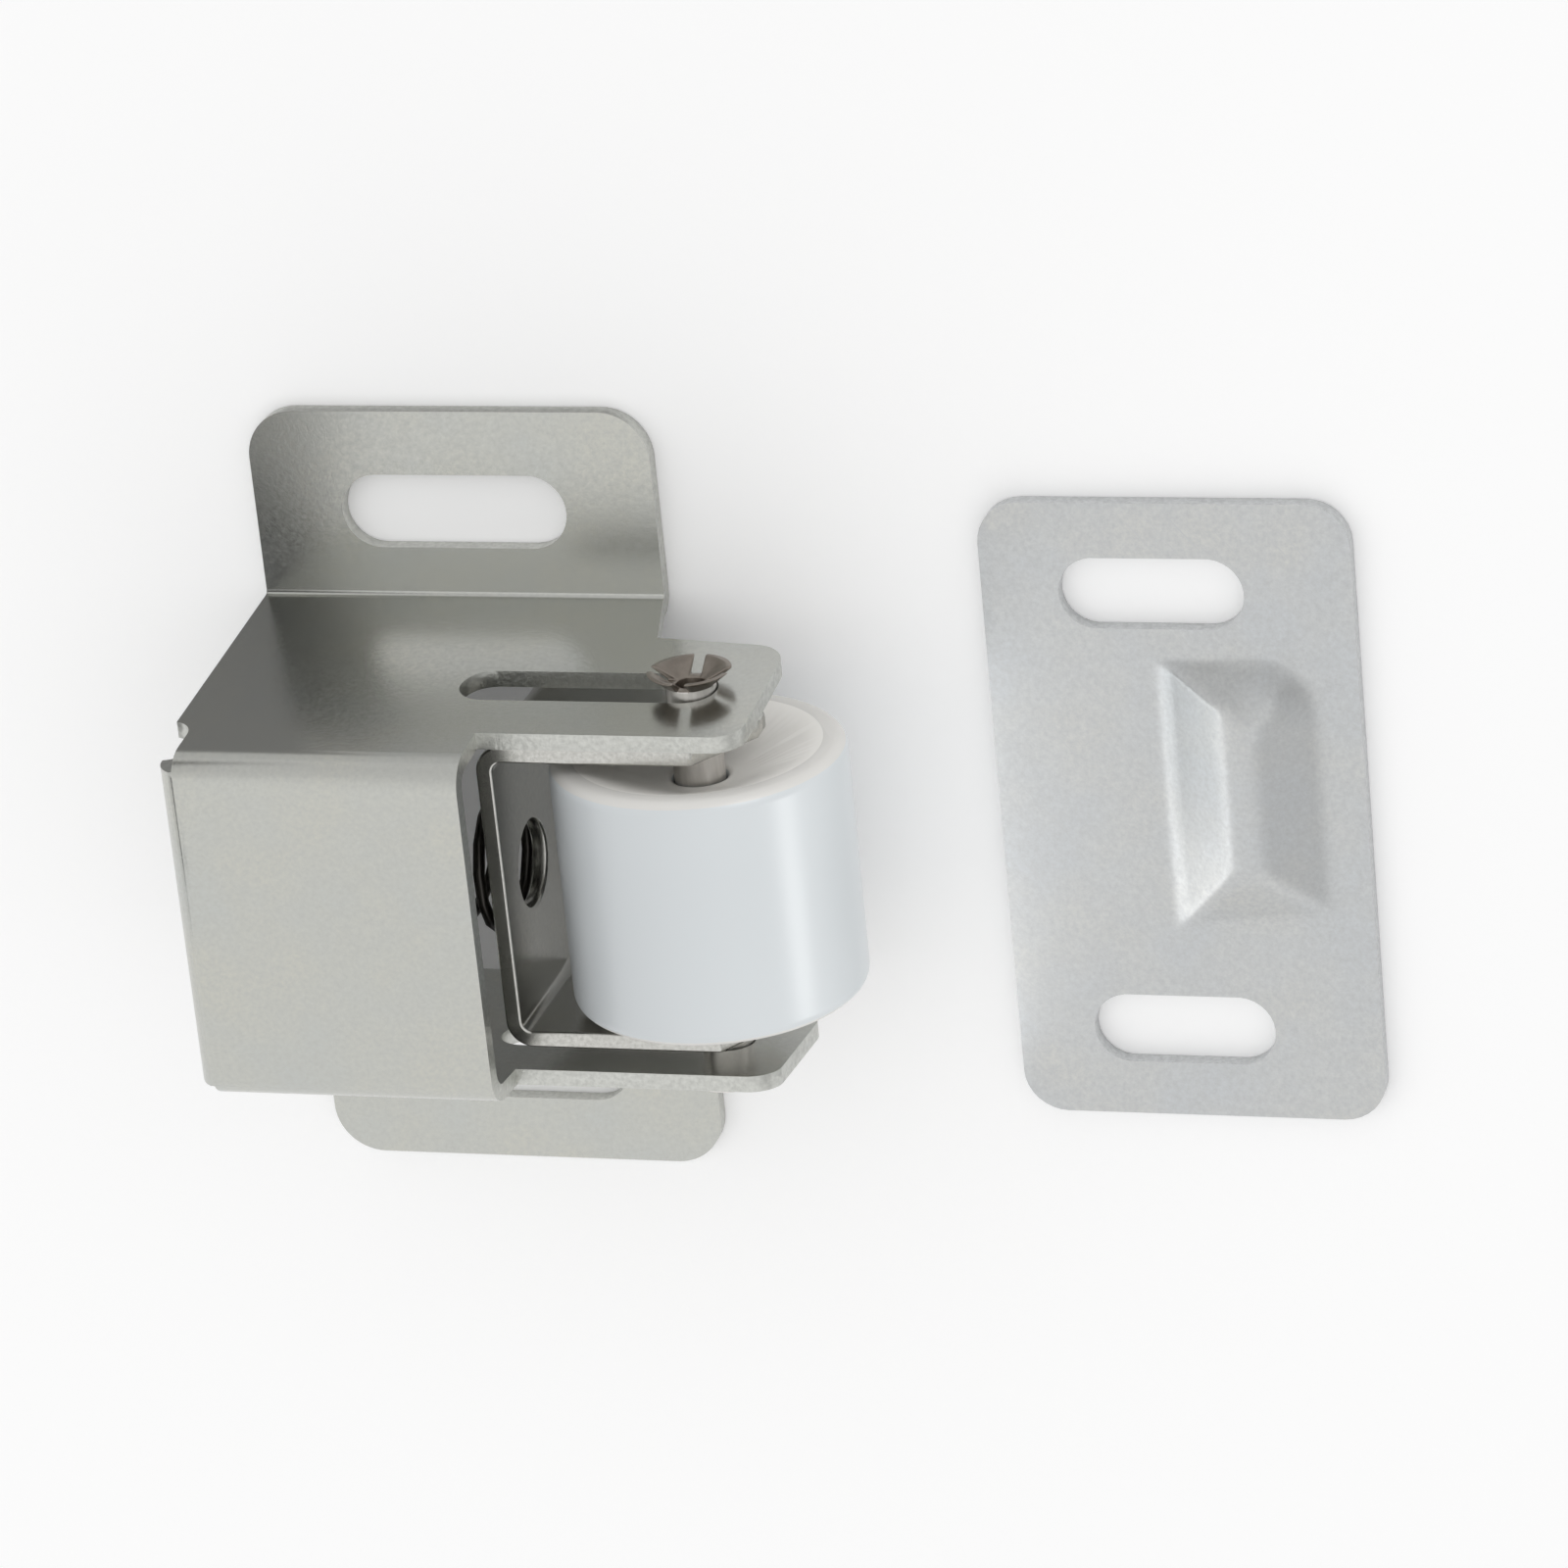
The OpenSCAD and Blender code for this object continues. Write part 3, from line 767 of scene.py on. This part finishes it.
class CATCH_OT_stage(bpy.types.Operator):
    """Sets the floor, the light and the camera"""

    bl_idname = "catch.stage"
    bl_label = "Stage"

    FLOOR_SIZE = (4, 4)
    FLOOR_LEVEL = -0.05 * MM
    FLOOR_WHITE = 1.08
    SENSOR = 36

    # Each flag's low and high corner, level, grey and turn in degrees
    LOW = -0.02 * MM
    FLAGS = (
        # Painted reflections: the three cards above the floor darken the flanges' reflections of the
        # surroundings.
        ("corner_flag", (-0.038, -0.0066), (-0.024, 0.0234), 0.0275, "flag_reflection_grey", 45),
        ("left_flag", (-0.04, 0.002), (-0.0182, 0.02), 0.028, "left_reflection_grey", 0),
        ("back_flag", (-0.04, 0.02), (-0.0182, 0.05), 0.028, "flag_reflection_grey", 0),
        # Painted shade: the cards at the floor's level darken the floor only where the metal reflects it.
        ("floor_shadow_flag", (-0.2, 0.012), (-0.01245, 0.045), LOW, "floor_shadow_grey", 0),
        ("bend_shade_flag", (-0.01245, 0.0246), (0.2, 0.045), LOW, "bend_shade_grey", 0),
        ("far_shade_flag", (-0.6, 0.045), (0.4, 0.8), LOW, "far_shade_grey", 0),
    )

    # Each lamp's place, the way it faces, its size, level and the piece that it lights
    ROLLER = "nylon_roller"
    STRIKE = "pressed_strike"
    LAMPS = (
        ("strip", (0.6, -0.25, 0.09), (-0.58, 0.25, -0.08), (0.1, 0.16), "strip_level", ROLLER),
        ("fill", (0.4, 0.4, 0.3), (-0.38, -0.4, -0.29), (0.3, 0.3), "fill_level", ROLLER),
        ("flank", (0.0292, -0.006, 0.006), (1, 0, 0), (0.026, 0.006), "flank_level", STRIKE),
        ("crest", (0.0267, -0.006, 0.0155), (0.95, 0, 0.33), (0.026, 0.013), "crest_level", STRIKE),
    )

    # Where the surroundings start and stop dimming, as parts of the way toward each axis
    DIMMING = (("Y", -0.2, 0.9, "back_level"), ("X", 0.4, 0.85, "right_level"))

    def sheet(self, name, size, place):
        """A flat card or floor"""
        bm = bmesh.new()
        bmesh.ops.create_grid(bm, x_segments=1, y_segments=1, size=0.5)
        mesh = bpy.data.meshes.new(name)
        bm.to_mesh(mesh)
        bm.free()
        card = bpy.data.objects.new(name, mesh)
        card.scale = (*size, 1)
        card.location = place
        bpy.context.scene.collection.objects.link(card)
        return card

    def paint(self, name, colour, lift=0.0):
        """A dull paint, of which a share shows plain white to the camera and in the metal"""
        paint = bpy.data.materials.new(name)
        paint.use_nodes = True
        tree = paint.node_tree
        tree.nodes.clear()
        dull = tree.nodes.new("ShaderNodeBsdfDiffuse")
        dull.inputs["Color"].default_value = (colour, colour, colour, 1)
        output = tree.nodes.new("ShaderNodeOutputMaterial")
        if not lift:
            tree.links.new(dull.outputs[0], output.inputs["Surface"])
            return paint
        white = tree.nodes.new("ShaderNodeEmission")
        rays = tree.nodes.new("ShaderNodeLightPath")
        share = tree.nodes.new("ShaderNodeMath")
        share.operation = "MULTIPLY"
        share.inputs[1].default_value = lift
        mix = tree.nodes.new("ShaderNodeMixShader")
        seen = rays.outputs["Is Camera Ray"]
        for kind in ("Is Glossy Ray", "Is Transmission Ray"):
            either = tree.nodes.new("ShaderNodeMath")
            either.operation = "MAXIMUM"
            tree.links.new(seen, either.inputs[0])
            tree.links.new(rays.outputs[kind], either.inputs[1])
            seen = either.outputs[0]
        tree.links.new(seen, share.inputs[0])
        tree.links.new(share.outputs[0], mix.inputs["Fac"])
        tree.links.new(dull.outputs[0], mix.inputs[1])
        tree.links.new(white.outputs[0], mix.inputs[2])
        tree.links.new(mix.outputs[0], output.inputs["Surface"])
        return paint

    def surroundings(self, scene, look):
        """White surroundings, dimmer toward +Y and +X"""
        world = bpy.data.worlds.new("White surroundings")
        world.use_nodes = True
        scene.world = world
        tree = world.node_tree
        white = tree.nodes["Background"]
        white.inputs["Color"].default_value = (1, 1, 1, 1)
        way = tree.nodes.new("ShaderNodeTexCoord")
        parts = tree.nodes.new("ShaderNodeSeparateXYZ")
        tree.links.new(way.outputs["Generated"], parts.inputs[0])
        bright = None
        for axis, start, end, level in self.DIMMING:
            fade = tree.nodes.new("ShaderNodeMapRange")
            fade.interpolation_type = "SMOOTHSTEP"
            fade.inputs["From Min"].default_value = start
            fade.inputs["From Max"].default_value = end
            fade.inputs["To Min"].default_value = 1.0
            fade.inputs["To Max"].default_value = getattr(look, level)
            tree.links.new(parts.outputs[axis], fade.inputs["Value"])
            if bright is None:
                bright = fade.outputs["Result"]
                continue
            both = tree.nodes.new("ShaderNodeMath")
            both.operation = "MULTIPLY"
            tree.links.new(bright, both.inputs[0])
            tree.links.new(fade.outputs["Result"], both.inputs[1])
            bright = both.outputs[0]
        tree.links.new(bright, white.inputs["Strength"])

    def lamp(self, scene, name, place, facing, size, level, piece):
        """A soft lamp of a given brightness, shaded so that it lights one piece"""
        light = bpy.data.lights.new(name, "AREA")
        light.shape = "RECTANGLE"
        light.size, light.size_y = size
        light.energy = level * math.pi * size[0] * size[1]
        lamp = bpy.data.objects.new(name, light)
        lamp.location = place
        lamp.rotation_euler = Vector(facing).to_track_quat("-Z", "Y").to_euler()
        lamp.visible_camera = False
        lit = bpy.data.collections.new(f"Lit by {name}")
        lit.objects.link(bpy.data.objects[piece])
        lamp.light_linking.receiver_collection = lit
        scene.collection.objects.link(lamp)

    def flag(self, name, low, high, level, grey, turn):
        """A grey card above the floor that only shows in the metal: a painted reflection, and painted shade
        on the floor where it lies at the floor's level
        """
        size = (high[0] - low[0], high[1] - low[1])
        middle = ((low[0] + high[0]) / 2, (low[1] + high[1]) / 2, level)
        flag = self.sheet(name, size, middle)
        flag.rotation_euler.z = turn
        flag.data.materials.append(self.paint(name, grey))
        flag.visible_camera = False
        flag.visible_diffuse = False
        flag.visible_shadow = False

    def execute(self, context):
        scene = context.scene
        look = scene.catch_stage
        scene.view_settings.view_transform = "Standard"
        floor = self.sheet("floor", self.FLOOR_SIZE, (0, 0, self.FLOOR_LEVEL))
        floor.data.materials.append(self.paint("White floor", self.FLOOR_WHITE, look.floor_lift))
        for name, low, high, level, grey, turn in self.FLAGS:
            self.flag(name, low, high, level, getattr(look, grey), math.radians(turn))
        self.surroundings(scene, look)
        for name, place, facing, size, level, piece in self.LAMPS:
            self.lamp(scene, name, place, facing, size, getattr(look, level), piece)

        lens = bpy.data.cameras.new("camera")
        lens.sensor_width = self.SENSOR
        lens.lens = look.camera_lens
        camera = bpy.data.objects.new("camera", lens)
        sight = Vector(look.camera_aim) - Vector(look.camera_place)
        roll = Quaternion((0, 0, 1), look.camera_roll)
        camera.rotation_mode = "QUATERNION"
        camera.location = look.camera_place
        camera.rotation_quaternion = sight.to_track_quat("-Z", "Y") @ roll
        scene.collection.objects.link(camera)
        scene.camera = camera
        return {"FINISHED"}


class CATCH_PT_panel(bpy.types.Panel):
    """The catch's pieces in the order in which they are made"""

    bl_idname = "CATCH_PT_panel"
    bl_label = "Roller catch"
    bl_space_type = "VIEW_3D"
    bl_region_type = "UI"
    bl_category = "Catch"

    def draw(self, context):
        for operator in OPERATORS:
            self.layout.operator(operator.bl_idname)


OPERATORS = (
    CATCH_OT_housing, CATCH_OT_carrier, CATCH_OT_roller, CATCH_OT_axle, CATCH_OT_spring, CATCH_OT_strike,
    CATCH_OT_stage,
)
GROUPS = {
    "catch_metal": CatchMetal,
    "catch_nylon": CatchNylon,
    "catch_ridge": CatchRidge,
    "catch_stage": CatchStage,
}


def register():
    for item in (*GROUPS.values(), *OPERATORS, CATCH_PT_panel):
        bpy.utils.register_class(item)
    for name, group in GROUPS.items():
        setattr(bpy.types.Scene, name, PointerProperty(type=group))


def unregister():
    for name in GROUPS:
        delattr(bpy.types.Scene, name)
    for item in reversed((*GROUPS.values(), *OPERATORS, CATCH_PT_panel)):
        bpy.utils.unregister_class(item)


def main():
    register()
    for operator in OPERATORS:
        group, name = operator.bl_idname.split(".")
        getattr(getattr(bpy.ops, group), name)()


if __name__ == "__main__":
    main()
